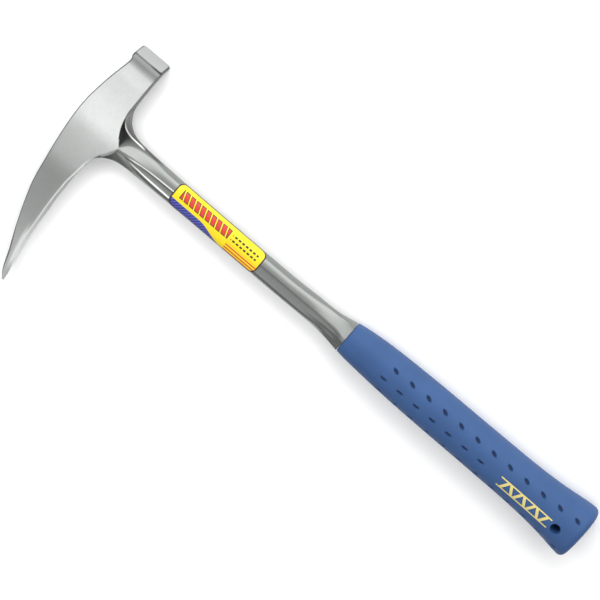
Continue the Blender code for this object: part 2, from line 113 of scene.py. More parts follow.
# Grip: its sleeve, the pocket round the tang, the lanyard hole and the rows of recesses, which are pressed
# 0.3 mm deeper than the CAD's
CLEARANCE = 0.3
POCKET_REACH = 5.0
GRIP_WIDTH = ((MOUTH, 11.2), (228.6, 11.8), (235, 12.5), (247.6, 13.4), (260, 14.0), (273, 14.4),
              (298, 14.8), (324, 14.9), (349, 15.1), (362, 15.2), (374.5, 15.6), (387, 16.3),
              (400, 17.7), (412, 19.3), (LENGTH, 19.8))
GRIP_HALF = ((MOUTH, 9.9), (235, 11.2), (260, 12.6), (298, 13.2), (349, 13.4), (374.5, 13.8),
             (400, 15.0), (412, 15.9), (LENGTH, 16.0))
GRIP_CENTRE = ((MOUTH, 0.3), (250, 0.8), (400, 0.8), (LENGTH, 0.3))
GRIP_ROUNDNESS = 2.3
LIP_RADIUS = 1.0
BUTT_RADIUS = 4.4
BUTT_DOME = 0.6
HOLE_S = 402.8
HOLE_P = -1.6
HOLE_RADIUS = 3.4
HOLE_ROUND = 0.7
HOLE_REACH = 6.0
RECESS_PITCH = 13.5
RECESS_LONG = 5.4
RECESS_WIDE = 2.4
RECESS_DEEP = 1.6
# Each row: its first recess's s, how many, their place as a share of the grip's half-width, their lean
RECESS_ROWS = ((261.7, 12, 0.63, -25), (258.6, 7, -0.03, 0), (260.5, 12, -0.7, 25))

# Sticker on the shank and foil stamp on the grip, thinner than the CAD's and closer to what they lie on
LABEL_START = 80.4
LABEL_END = 152.6
LABEL_ANGLES = (-0.06, math.pi - 0.58)
LABEL_CORNER = 6.0
LABEL_GAP = 0.06
LABEL_THICK = 0.12
STAMP_START = 358.0
STAMP_STEP = 5.4
STAMP_COUNT = 8
STAMP_P = -1.6
STAMP_HEIGHT = 7.6
STAMP_RULE = 0.9
STAMP_BAR = 2.2
STAMP_GAP = 0.03
STAMP_THICK = 0.08

# The hammer rests on the poll's edge and the grip's rim
RIM_S = 416.5
REST_TILT = math.atan2(GRIP_HALF[-1][1] - POLL_HALF, RIM_S - POLL_TOP)

# Camera, in the hammer's own axes: it stands on the poll's side, above
CAMERA_TARGET = (186.04, -1.72, 0.0)
CAMERA_DISTANCE = 2000.0
CAMERA_LEAN = 25.5
CAMERA_ROLL = 40.3
CAMERA_SENSOR = 36.0
VIEW_WIDTH = 382.2
CAMERA_LENS = CAMERA_SENSOR * CAMERA_DISTANCE / VIEW_WIDTH

# Sky: (degrees round the long axis, from straight up toward the poll's side; brightness). It fades to a
# share of that toward both ends of the long axis
SKY_STOPS = ((-180, 0.1), (-90, 0.35), (-60, 0.5), (-42, 0.7), (-27, 1.0), (-12, 1.05), (2, 1.18), (20, 1.75),
             (45, 2.6), (65, 2.3), (85, 1.1), (110, 0.2))
SKY_PEAK = 2.6
SKY_END = 0.15
SKY_FADE = (0.3, 0.85)
# Area lights, in the frame's metres: name, place, size, watts
LIGHTS = (("key", (-0.3, 1.2, 1.0), (0.9, 0.5), 9.0), ("fill", (-0.9, 0.1, 1.1), (0.5, 0.5), 3.0))
FLOOR_HALF = 4.0
PAPER_TONES = ((0.93, 0.93, 0.93, 1), (0.97, 0.97, 0.97, 1))

# Fineness: counts of steps, (start, end, spacing) runs, and the angles above which an edge stays sharp
RING_STEPS = (30, 18, 18, 30)
SHANK_RUNS = ((NECK_START, 26, 2), (26, 60, 0.4), (60, 84, 0.8), (84, 190, 2), (190, COLLAR, 0.5))
TANG_SPACING = 30
HEAD_RUNS = ((TIP_P, -84, 0.8), (-84, -20, 1), (-20, NOSE_P, 0.6), (NOSE_P, 20, 0.6), (20, 44, 1),
             (44, POLL_START - 0.1, 0.35))
CHAMFER_RING = ((0.0, 0.02), (0.08, 0.1), (0.5, 0.5), (0.9, 0.92), (0.98, 1.0), (1.0, 1.12))
FLAT_PARTS = (0.04, 0.2, 0.4, 0.6, 0.8, 0.96)
CORNER_STEPS = 6
GRIP_RING = 240
GRIP_SPACING = 0.4
LIP_STEPS = 9
BUTT_STEPS = 19
DOME_SCALES = (0.85, 0.7, 0.4)
POCKET_SPACING = 40
ROUND_STEPS = 64
MOUTH_STEPS = 7
SLOPE_STEP = 0.2
LABEL_STEPS = (181, 121)
STAMP_CUTS = 9
BODY_SHARP = 32
GRIP_SHARP = 35
SHEET_SHARP = 40

# Steel finishes, and one dark steel that is painted shade standing in for dark reflections round the poll and
# under it:
# (tone, smoothest, roughest, grain strength), and the order of their slots on the body
POLISHED = ((0.25, 0.262, 0.253), 0.16, 0.26, 0.08)
SATIN = ((0.93, 0.955, 0.937), 0.4, 0.54, 0.9)
DARK_PAINTED_SHADE = ((0.14, 0.147, 0.145), 0.3, 0.4, 0.1)
SATIN_SLOT, PAINTED_SHADE_SLOT = 1, 2
TONE_SPREAD = (0.78, 1.2)
STREAK_STRETCH = (1.0, 0.15, 1.0)

# Noise scales, per metre, and bump distances in metres
GRAIN_SCALE = 5200
MOTTLE_SCALE = 1500
CLOUD_SCALE = 55
VINYL_CLOUD_SCALE = 45
FIBRE_SCALE = 900
STEEL_BUMP = 0.00004
VINYL_BUMP = 0.00008
FOIL_BUMP = 0.00003

# Vinyl and foil colours, 0 to 255, with the dark blue painted as shade in the grip's recesses
VINYL_BLUES = ((26, 56, 101), (56, 93, 144))
VINYL_PAINTED_SHADE = (16, 30, 62)
FOIL_GOLDS = ((214, 196, 112), (240, 226, 150))

# Where the finishes and the painted shade change: the head's skin; the underside, painted dark as shade from
# this p to the poll where it faces the butt; and the band painted dark as shade where the top's rounded edge
# meets the cheek
SKIN = 0.05
PAINTED_SHADE_UNDER_P = 6.0
FACES_BUTT = 0.6
FACES_CROWN = 0.35
EDGE_BAND = 0.7
FACE_SKIN = 0.01

# The neck's flank toward the poll, painted darker as shade from this p outward
PAINTED_SHADE_EDGE = ((36.5, 1.5), (40, 4.8), (44, 6.2), (50, 7.0), (56, 7.4), (62, 8.0), (72, 8.6))
PAINTED_SHADE_WINDOW = (20, 22, 62, 76)
PAINTED_SHADE_SOFT = 0.9
PAINTED_SHADE_TONE = 0.42

# Painted highlights: white lines along the arrises that stand in for reflections. Windows say where one
# starts, is full,
# begins to fade and ends: in s for the neck's creases and the fuller, in p for the pick. The pick's have a
# distance from its edge, half-width, strength
PAINTED_HIGHLIGHT_COLOUR = (0.95, 0.96, 0.95, 1)
PAINTED_HIGHLIGHT_METAL = 0.25
PAINTED_HIGHLIGHT_ROUGHER = 0.35
PAINTED_HIGHLIGHT_HALF = 0.5
CREASE_WINDOWS = ((28, 31, 46, 50), (28, 31, 50, 54))
FULLER_WINDOW = (43, 50, 80, 90)
FULLER_ABOVE = 0.6
PICK_WINDOW = (-116, -108, -24, -14)
PICK_HIGHLIGHT = (0.6, 0.5, 0.7)
STREAK_WINDOW = (-122, -112, -90, -78)
STREAK_HIGHLIGHT = (1.6, 1.6, 0.6)
CHEEK_BAND = 1.0

# The sticker's print, in millimetres along it from its head end and across it from its poll edge. Each
# edge is where the ink starts and where it is full. Each taper is where the band starts and stops widening
# or narrowing, and the shift of its edge at both places
PRINT_SOFT = 0.12
RIM_EDGE = (LABEL_CORNER - 1.0, LABEL_CORNER - 0.8)
BAND_EDGE = (13.6, 13.9)
BAND_TAPER = (24, 46, 0.0, -5.5)
HATCH_PITCH = 1.3
HATCH_EDGE = (0.85, 1.0)
RULES_ALONG = (46, 46.3)
RULES_ACROSS = (12.4, 12.5)
RULE_PITCH = 1.1
RULE_EDGE = (0.55, 0.7)
BAR_SLANT = -0.35
BAR_PITCH = 2.2
BAR_EDGE = (0.75, 0.9)
BAR_OUTLINE_EDGE = (0.35, 0.5)
BARS = ((5.6, 44.4), (5.2, 10.6))
BAR_OUTLINES = ((5, 45), (4.6, 11.2))
DASH_PITCH = 1.5
DASH_EDGE = (0.45, 0.6)
DASHES_ALONG = (47, 68)
DASH_ROWS = ((6.0, 7.3), (9.0, 10.3))

# Painted light and shade along the head, standing in for its reflections: how light the ground finish is
# painted at each place, darker toward the pick and at the collar: (p, share)
HEAD_PAINTED_LIGHT = ((-120, 0.75), (-92, 0.58), (-76, 0.46), (-60, 0.41), (-44, 0.365), (-36, 0.41), (-28, 0.54),
              (-12, 0.65), (-4, 0.74), (5, 0.98), (12, 1.0), (20, 0.98), (36, 0.88), (50, 0.84), (54, 0.5))


def place():
    """From the design axes in millimetres to the frame in metres, as the CAD is placed."""
    lift = POLL_HALF * math.cos(REST_TILT) - POLL_TOP * math.sin(REST_TILT)
    rest = Matrix.Rotation(-REST_TILT, 4, "Y")
    middle = Vector((-LENGTH / 2, -(FACE_P + TIP_P) / 2, lift))
    return Matrix.Translation(middle * MM) @ rest @ Matrix.Scale(MM, 4)


# ---- Curves ---------------------------------------------------------------------------------------


def smooth(points, x):
    """Values at x of a curve through the points that never rises above or dips below them."""
    xs, ys = np.array(points, float).T
    slopes = np.diff(ys) / np.diff(xs)
    left, right = slopes[:-1], slopes[1:]
    same_way = left * right > 0
    total = np.where(same_way, left + right, 1.0)
    inner = np.where(same_way, 2 * left * right / total, 0.0)
    tangents = np.concatenate([slopes[:1], inner, slopes[-1:]])
    x = np.clip(np.asarray(x, float), xs[0], xs[-1])
    i = np.clip(np.searchsorted(xs, x, side="right") - 1, 0, len(xs) - 2)
    step = xs[i + 1] - xs[i]
    t = (x - xs[i]) / step
    rise = (3 - 2 * t) * t * t
    bend = t * (1 - t) * ((1 - t) * tangents[i] - t * tangents[i + 1])
    return ys[i] + (ys[i + 1] - ys[i]) * rise + step * bend


def runs(*pieces):
    """Places along an axis from (start, end, spacing) runs that follow on from each other."""
    places = [np.array([pieces[0][0]], float)]
    for start, end, spacing in pieces:
        count = max(1, round(abs(end - start) / spacing))
        places.append(np.linspace(start, end, count + 1)[1:])
    return np.concatenate(places)


def power(value, exponent):
    return np.sign(value) * np.abs(value) ** exponent


def bell(away, half):
    """1 on a line, falling softly to nothing a few half-widths away from it."""
    return np.exp(-((away / half) ** 2))


def window(x, start, full, fade, end):
    """0 outside start to end, 1 between full and fade, and straight slopes between."""
    return np.interp(x, (start, full, fade, end), (0.0, 1.0, 1.0, 0.0))


# ---- Meshes ---------------------------------------------------------------------------------------


def mesh_object(name, points, faces):
    mesh = bpy.data.meshes.new(name)
    mesh.from_pydata([tuple(point) for point in points], [], faces)
    mesh.transform(place())
    mesh.update()
    obj = bpy.data.objects.new(name, mesh)
    bpy.context.scene.collection.objects.link(obj)
    return obj


def loft(name, rings):
    """A closed solid through a grid of rings, with flat ends."""
    rows, count = rings.shape[:2]
    faces = []
    for row in range(rows - 1):
        low, high = row * count, (row + 1) * count
        for i in range(count):
            j = (i + 1) % count
            faces.append((low + i, low + j, high + j, high + i))
    faces.append(tuple(reversed(range(count))))
    faces.append(tuple(range((rows - 1) * count, rows * count)))
    obj = mesh_object(name, rings.reshape(-1, 3), faces)
    turn_outward(obj)
    return obj


def read_rows(items, key):
    """A three-number property of all of a mesh's points or faces, one row each."""
    values = np.empty(len(items) * 3)
    items.foreach_get(key, values)
    return values.reshape(-1, 3)


def design_rows(items, key):
    """Places in the frame as rows of (s, p, z) in millimetres."""
    back = np.array(place().inverted())
    return read_rows(items, key) @ back[:3, :3].T + back[:3, 3]


def turn_outward(obj):
    """Flips a closed mesh whose faces point inward."""
    mesh = obj.data
    mesh.calc_loop_triangles()
    points = read_rows(mesh.vertices, "co")
    corners = np.empty(len(mesh.loop_triangles) * 3, int)
    mesh.loop_triangles.foreach_get("vertices", corners)
    volume = np.linalg.det(points[corners.reshape(-1, 3)]).sum()
    if volume < 0:
        mesh.flip_normals()


def combine(obj, other, operation):
    """Joins other to obj, or cuts it away, and removes other."""
    modifier = obj.modifiers.new(other.name, "BOOLEAN")
    modifier.operation = operation
    modifier.solver = "MANIFOLD"
    modifier.object = other
    bpy.context.view_layer.update()
    graph = bpy.context.evaluated_depsgraph_get()
    mesh = bpy.data.meshes.new_from_object(obj.evaluated_get(graph))
    obj.modifiers.clear()
    obj.data = mesh
    bpy.data.objects.remove(other, do_unlink=True)


def shade(obj, sharp_degrees):
    """Smooth shading that keeps sharp edges and flat faces."""
    obj.data.shade_smooth()
    obj.data.set_sharp_from_angle(angle=math.radians(sharp_degrees))
    weighted = obj.modifiers.new("flat_faces_first", "WEIGHTED_NORMAL")
    weighted.keep_sharp = True


# ---- Shank and tang -------------------------------------------------------------------------------


def shank_angles(s, steps):
    """Angles round the near side at each s, from the poll edge to the pick edge, with some on the fuller."""
    half = smooth(FULLER_HALF, s)
    marks = [np.zeros_like(s)]
    for p in (FULLER_P + half, np.full_like(s, FULLER_P), FULLER_P - half):
        width = np.where(p > 0, smooth(POLL_WIDTH, s), smooth(PICK_WIDTH, s))
        marks.append(np.arccos(power(p / width, ROUNDNESS / 2)))
    marks.append(np.full_like(s, math.pi))
    columns = [marks[0]]
    for low, high, count in zip(marks, marks[1:], steps):
        columns += [low + (high - low) * i / count for i in range(1, count + 1)]
    return np.stack(columns, axis=-1)


def shank_section(s, angles):
    """(p, z) of the shank's near side without its groove: a blend of a rounded and a creased section."""
    s = s[:, None]
    to_poll = angles <= math.pi / 2
    width = np.where(to_poll, smooth(POLL_WIDTH, s), smooth(PICK_WIDTH, s))
    side = np.where(to_poll, 1, -1)
    ridge = smooth(RIDGE, s)
    round_p = width * np.abs(np.cos(angles)) ** (2 / ROUNDNESS)
    round_z = ridge * np.abs(np.sin(angles)) ** (2 / ROUNDNESS)

    crease = smooth(CREASE, s)
    nose = np.where(to_poll, smooth(NOSE_POLL, s), smooth(NOSE_PICK, s))
    part = 1 - np.abs(1 - angles / (math.pi / 2))
    t = np.clip((part - BAND_SHARE) / (1 - NOSE_SHARE - BAND_SHARE), 0, 1)
    outer_z = crease * part / BAND_SHARE
    flank_z = crease + (ridge - crease) * t**FLANK_POWER
    flank_p = (width - OUTER_DRAFT * crease) * (1 - t) + nose * t
    sharp_p = np.where(part < BAND_SHARE, width - OUTER_DRAFT * outer_z, flank_p)
    sharp_p = np.where(part >= 1 - NOSE_SHARE, nose * (1 - part) / NOSE_SHARE, sharp_p)
    sharp_z = np.where(part < BAND_SHARE, outer_z, flank_z)

    blend = smooth(FORGED_BLEND, s)
    p = side * (blend * sharp_p + (1 - blend) * round_p)
    return p, blend * sharp_z + (1 - blend) * round_z


def sink_fuller(s, p):
    """Depth of the groove below the shank's section, less the low bead along its poll edge."""
    s = s[:, None]
    half = smooth(FULLER_HALF, s)
    across = np.clip(np.abs(p - FULLER_P) / half, 0, 1)
    bead = smooth(BEAD_HEIGHT, s) * bell(p - FULLER_P - half, BEAD_HALF)
    return smooth(FULLER_DEPTH, s) * (1 - across**FULLER_POWER) - bead


def oval(s, width, half, roundness, centre, count):
    """Superellipse rings at each s."""
    angle = 2 * math.pi * np.arange(count) / count
    p = centre[:, None] + width[:, None] * power(np.cos(angle), 2 / roundness)
    z = half[:, None] * power(np.sin(angle), 2 / roundness)
    return np.stack([np.broadcast_to(s[:, None], p.shape), p, z], axis=-1)


def build_shank():
    s = runs(*SHANK_RUNS)
    p, z = shank_section(s, shank_angles(s, RING_STEPS))
    z = z - sink_fuller(s, p)
    near = np.stack([np.broadcast_to(s[:, None], p.shape), p, z], axis=-1)
    far = near[:, -2:0:-1] * (1, 1, -1)
    rings = np.concatenate([near, far], axis=1)
    s = runs((COLLAR, TANG_END, TANG_SPACING))
    middle = np.zeros_like(s)
    tang = oval(s, smooth(TANG_WIDTH, s), smooth(TANG_HALF, s), TANG_ROUNDNESS, middle, rings.shape[1])
    return loft("shank_and_tang", np.concatenate([rings, tang]))


# ---- Head -----------------------------------------------------------------------------------------


def head_rings(p, inset):
    """Rings round the head: a rectangle with rounded corners and extra points beside them."""
    under = np.where(p < NOSE_P, smooth(UNDER_PICK, p), smooth(UNDER_POLL, p)) - inset
    top = smooth(CROWN, p) + inset
    half = smooth(THICKNESS, p) - inset
    radius = smooth(CORNER, p)
    corners = []
    for s, z, start in ((under, half, 0), (top, half, 90), (top, -half, 180), (under, -half, 270)):
        centre_s = s - np.sign(s - (top + under) / 2) * radius
        centre_z = z - np.sign(z) * radius
        for i in range(CORNER_STEPS + 1):
            angle = math.radians(start + 90 * i / CORNER_STEPS)
            corners.append((centre_s + radius * math.cos(angle), centre_z + radius * math.sin(angle)))
    ring = []
    for i, (s, z) in enumerate(corners):
        ring.append((s, z))
        if i % (CORNER_STEPS + 1) == CORNER_STEPS:
            next_s, next_z = corners[(i + 1) % len(corners)]
            for part in FLAT_PARTS:
                ring.append((s + (next_s - s) * part, z + (next_z - z) * part))
    s_grid = np.stack([s for s, _ in ring], axis=-1)
    z_grid = np.stack([z for _, z in ring], axis=-1)
    return np.stack([s_grid, np.broadcast_to(p[:, None], s_grid.shape), z_grid], axis=-1)


def build_head():
    body = runs(*HEAD_RUNS)
    chamfer = np.array(CHAMFER_RING)
    p = np.concatenate([body, POLL_START + chamfer[:, 0]])
    inset = np.concatenate([np.zeros_like(body), chamfer[:, 1]])
    return loft("steel_body", head_rings(p, inset))


# ---- Grip -----------------------------------------------------------------------------------------


def grip_height(s, p):
    """Height of the grip's near side above the parting plane."""
    across = np.abs(p - smooth(GRIP_CENTRE, s)) / smooth(GRIP_WIDTH, s)
    return smooth(GRIP_HALF, s) * (1 - across**GRIP_ROUNDNESS) ** (1 / GRIP_ROUNDNESS)


def recess_places():
    """The middle of every recess on the near side, and its lean."""
    for first, number, share, lean in RECESS_ROWS:
        for i in range(number):
            s = first + i * RECESS_PITCH
            yield s, share * float(smooth(GRIP_WIDTH, s)), math.radians(lean)


def recess_reach(points):
    """For every recess: its side, each point's distance from its middle (1 at its rim), and the way out."""
    for s, p, lean in recess_places():
        rise = float(grip_height(s, p + SLOPE_STEP) - grip_height(s, p - SLOPE_STEP)) / (2 * SLOPE_STEP)
        for side in (1, -1):
            centre = np.array((s, p, side * float(grip_height(s, p))))
            across = np.array((0, 1, side * rise)) / math.hypot(1, rise)
            out = np.array((0, -rise, side)) / math.hypot(1, rise)
            offset = points - centre
            along = offset[..., 0] * math.cos(lean) + (offset @ across) * math.sin(lean)
            sideways = (offset @ across) * math.cos(lean) - offset[..., 0] * math.sin(lean)
            yield side, (along / (RECESS_LONG / 2)) ** 2 + (sideways / (RECESS_WIDE / 2)) ** 2, out


def sink_recesses(points):
    """Presses the rows of slim hollows into both sides of the grip."""
    sunk = points.copy()
    for side, reach, out in recess_reach(points):
        inside = (reach < 1) & (points[..., 2] * side > 0)
        depth = RECESS_DEEP * (1 - np.clip(reach, 0, 1) ** 2) * inside
        sunk -= depth[..., None] * out
    return sunk


def build_grip():
    turn = np.radians(np.linspace(0, 90, LIP_STEPS))
    lip_s = MOUTH + LIP_RADIUS * (1 - np.cos(turn))
    lip_inset = LIP_RADIUS * (1 - np.sin(turn))
    turn = np.radians(np.linspace(0, 90, BUTT_STEPS)[1:])
    butt_s = LENGTH - BUTT_DOME - BUTT_RADIUS * (1 - np.sin(turn))
    butt_inset = BUTT_RADIUS * (1 - np.cos(turn))
    body_s = runs((MOUTH + LIP_RADIUS, LENGTH - BUTT_RADIUS - BUTT_DOME, GRIP_SPACING))[1:]
    s = np.concatenate([lip_s, body_s, butt_s])
    inset = np.concatenate([lip_inset, np.zeros_like(body_s), butt_inset])
    width = smooth(GRIP_WIDTH, s) - inset
    half = smooth(GRIP_HALF, s) - inset
    rings = oval(s, width, half, GRIP_ROUNDNESS, smooth(GRIP_CENTRE, s), GRIP_RING)
    rings = sink_recesses(rings)
    dome = []
    least = DOME_SCALES[-1]
    for scale in DOME_SCALES:
        ring = rings[-1] * (1, scale, scale)
        ring[:, 0] = LENGTH - BUTT_DOME * ((scale - least) / (1 - least)) ** 2
        dome.append(ring)
    grip = loft("grip_sleeve", np.concatenate([rings, dome]))
    combine(grip, build_pocket(), "DIFFERENCE")
    combine(grip, build_hole(), "DIFFERENCE")
    return grip


def build_pocket():
    """The cut for the tang, open at the grip's mouth."""
    s = np.array([MOUTH - POCKET_REACH, *runs((COLLAR, TANG_END + CLEARANCE, POCKET_SPACING))])
    width = smooth(TANG_WIDTH, s) + CLEARANCE
    half = smooth(TANG_HALF, s) + CLEARANCE
    return loft("tang_pocket", oval(s, width, half, TANG_ROUNDNESS, np.zeros_like(s), ROUND_STEPS))


def build_hole():
    """The cut for a round hole with softly rounded mouths."""
    mouth = float(grip_height(HOLE_S, HOLE_P))
    turn = np.radians(np.linspace(0, 90, MOUTH_STEPS))
    flare_z = mouth - HOLE_ROUND * (1 - np.sin(turn))
    flare_r = HOLE_RADIUS + HOLE_ROUND * (1 - np.cos(turn))
    z = np.concatenate([[-mouth - HOLE_REACH], -flare_z[::-1], flare_z, [mouth + HOLE_REACH]])
    radius = np.concatenate([[flare_r[-1]], flare_r[::-1], flare_r, [flare_r[-1]]])
    angle = 2 * math.pi * np.arange(ROUND_STEPS) / ROUND_STEPS
    s_grid = HOLE_S + radius[:, None] * np.cos(angle)
    p_grid = HOLE_P + radius[:, None] * np.sin(angle)
    rings = np.stack([s_grid, p_grid, np.broadcast_to(z[:, None], s_grid.shape)], axis=-1)
    return loft("lanyard_hole", rings)


# ---- Sticker and stamp ----------------------------------------------------------------------------


def thick_sheet(name, inner, outer, place_on_sheet):
    """A closed sheet between two matching grids of points, with (along, across) in millimetres as its UVs."""
    rows, columns = inner.shape[:2]
    index = np.arange(rows * columns).reshape(rows, columns)
    low = np.stack([index[:-1, :-1], index[:-1, 1:], index[1:, 1:], index[1:, :-1]], axis=-1).reshape(-1, 4)
    high = low[:, ::-1] + rows * columns
    loop = np.concatenate([index[0, :-1], index[:-1, -1], index[-1, :0:-1], index[:0:-1, 0]])
    after = np.roll(loop, -1)
    edge = np.stack([loop, loop + rows * columns, after + rows * columns, after], axis=-1)
    faces = np.concatenate([low, high, edge])
    points = np.concatenate([inner.reshape(-1, 3), outer.reshape(-1, 3)])
    obj = mesh_object(name, points, faces.tolist())
    uv = obj.data.uv_layers.new(name="print")
    both = np.concatenate([place_on_sheet.reshape(-1, 2)] * 2)
    uv.data.foreach_set("uv", both[faces.reshape(-1)].astype(np.float32).ravel())
    turn_outward(obj)
    return obj


def label_grids():
    """Inner and outer surfaces of the sticker, each point's place on it, and its width."""
    s = np.linspace(LABEL_START, LABEL_END, LABEL_STEPS[0])
    columns = np.repeat(np.linspace(*LABEL_ANGLES, LABEL_STEPS[1])[None], len(s), axis=0)
    p, z = shank_section(s, np.abs(columns))
    z = z * np.where(columns < 0, -1, 1)
    run = np.hypot(np.diff(p, axis=1), np.diff(z, axis=1))
    across = np.concatenate([np.zeros((len(s), 1)), np.cumsum(run, axis=1)], axis=1)
    width = across[len(s) // 2, -1]
    reach = LABEL_CORNER - np.minimum(across[len(s) // 2], width - across[len(s) // 2])
    inset = np.where(reach > 0, LABEL_CORNER - np.sqrt(LABEL_CORNER**2 - np.clip(reach, 0, None) ** 2), 0)
    middle = (LABEL_START + LABEL_END) / 2
    stretch = 1 - inset / (middle - LABEL_START)
    s_grid = middle + (s[:, None] - middle) * stretch
    normal_p = -np.gradient(z, axis=1)
    normal_z = np.gradient(p, axis=1)
    size = -np.hypot(normal_p, normal_z)
    surfaces = []
    for distance in (LABEL_GAP, LABEL_GAP + LABEL_THICK):
        out_p = p + distance * normal_p / size
        out_z = z + distance * normal_z / size
        surfaces.append(np.stack([s_grid, out_p, out_z], axis=-1))
    return (*surfaces, np.stack([s_grid - LABEL_START, across], axis=-1), width)


def build_label():
    inner, outer, where, width = label_grids()
    obj = thick_sheet("printed_sticker", inner, outer, where)
    return obj, width


def build_stamp():
    """Foil border: two rules joined by a zigzag of bars, lying on the grip's surface."""
    sheet = bmesh.new()
    places = [STAMP_START + i * STAMP_STEP for i in range(STAMP_COUNT)]
    cuts = sorted(s + shift for s in places for shift in (-STAMP_BAR, 0.0, STAMP_BAR))
    levels = [STAMP_P + side * (STAMP_HEIGHT / 2 - inset) for side, inset in
              ((-1, 0.0), (-1, STAMP_RULE), (1, STAMP_RULE), (1, 0.0))]
    rows = [[sheet.verts.new((s, p, 0)) for s in cuts] for p in levels]
    for low, high in ((rows[0], rows[1]), (rows[2], rows[3])):
        for i in range(len(cuts) - 1):
            sheet.faces.new((low[i], low[i + 1], high[i + 1], high[i]))
    for i in range(STAMP_COUNT - 1):
        start, end = (rows[1], rows[2]) if i % 2 == 0 else (rows[2], rows[1])
        left = start[3 * i + 1 : 3 * i + 3]
        right = end[3 * i + 3 : 3 * i + 5]
        sheet.faces.new((left[0], left[1], right[1], right[0]))
    bmesh.ops.subdivide_edges(sheet, edges=sheet.edges, cuts=STAMP_CUTS, use_grid_fill=True)
    faces = list(sheet.faces)
    copy = bmesh.ops.duplicate(sheet, geom=faces)
    twins = {vert: copy["vert_map"][vert] for face in faces for vert in face.verts}
    for edge in {edge for face in faces for edge in face.edges if len(edge.link_faces) == 1}:
        a, b = edge.verts
        sheet.faces.new((a, b, twins[b], twins[a]))
    for low, high in twins.items():
        surface = float(grip_height(low.co.x, low.co.y))
        low.co.z = surface + STAMP_GAP
        high.co.z = surface + STAMP_GAP + STAMP_THICK
    bmesh.ops.recalc_face_normals(sheet, faces=sheet.faces)
    sheet.transform(place())
    mesh = bpy.data.meshes.new("foil_stamp")
    sheet.to_mesh(mesh)
    sheet.free()
    obj = bpy.data.objects.new("foil_stamp", mesh)
    bpy.context.scene.collection.objects.link(obj)
    return obj


# ---- Materials ------------------------------------------------------------------------------------


class Graph:
    """Short calls for making and joining a material's nodes."""

    def __init__(self, name):
        self.material = bpy.data.materials.new(name)
        self.material.use_nodes = True
        self.tree = self.material.node_tree
        self.shader = self.tree.nodes["Principled BSDF"]

    def node(self, kind, inputs=(), **settings):
        made = self.tree.nodes.new(kind)
        for key, value in settings.items():
            setattr(made, key, value)
        for key, value in dict(inputs).items():
            self.put(made.inputs[key], value)
        return made

    def put(self, socket, value):
        if isinstance(value, bpy.types.NodeSocket):
            self.tree.links.new(value, socket)
        else:
            socket.default_value = value

    def math(self, operation, first, second=0.0, third=0.0):
        inputs = {0: first, 1: second}
        if operation == "MULTIPLY_ADD":
            inputs[2] = third
        return self.node("ShaderNodeMath", inputs, operation=operation).outputs[0]

    def ramp(self, value, low, high, start=0.0, end=1.0):
        inputs = {"Value": value, "From Min": low, "From Max": high, "To Min": start, "To Max": end}
        return self.node("ShaderNodeMapRange", inputs, interpolation_type="SMOOTHSTEP").outputs["Result"]

    def mix(self, share, first, second):
        made = self.node("ShaderNodeMix", data_type="RGBA")
        self.put(made.inputs["Factor"], share)
        self.put(made.inputs[6], first)
        self.put(made.inputs[7], second)
        return made.outputs[2]

    def noise(self, vector, scale, detail=3.0, roughness=0.5):
        inputs = {"Vector": vector, "Scale": scale, "Detail": detail, "Roughness": roughness}
        return self.node("ShaderNodeTexNoise", inputs).outputs["Fac"]

    def set(self, **sockets):
        for key, value in sockets.items():
            self.put(self.shader.inputs[key.replace("_", " ")], value)

    def bump(self, height, strength, distance):
        inputs = {"Height": height, "Strength": strength, "Distance": distance}
        self.set(Normal=self.node("ShaderNodeBump", inputs).outputs["Normal"])


def linear(red, green, blue):
    """A display colour of 0 to 255 per channel as the shader's linear colour."""
    parts = [channel / 255 for channel in (red, green, blue)]
    return (*[c / 12.92 if c <= 0.04045 else ((c + 0.055) / 1.055) ** 2.4 for c in parts], 1)


def scaled(tone, share):
    return (*[part * share for part in tone], 1)


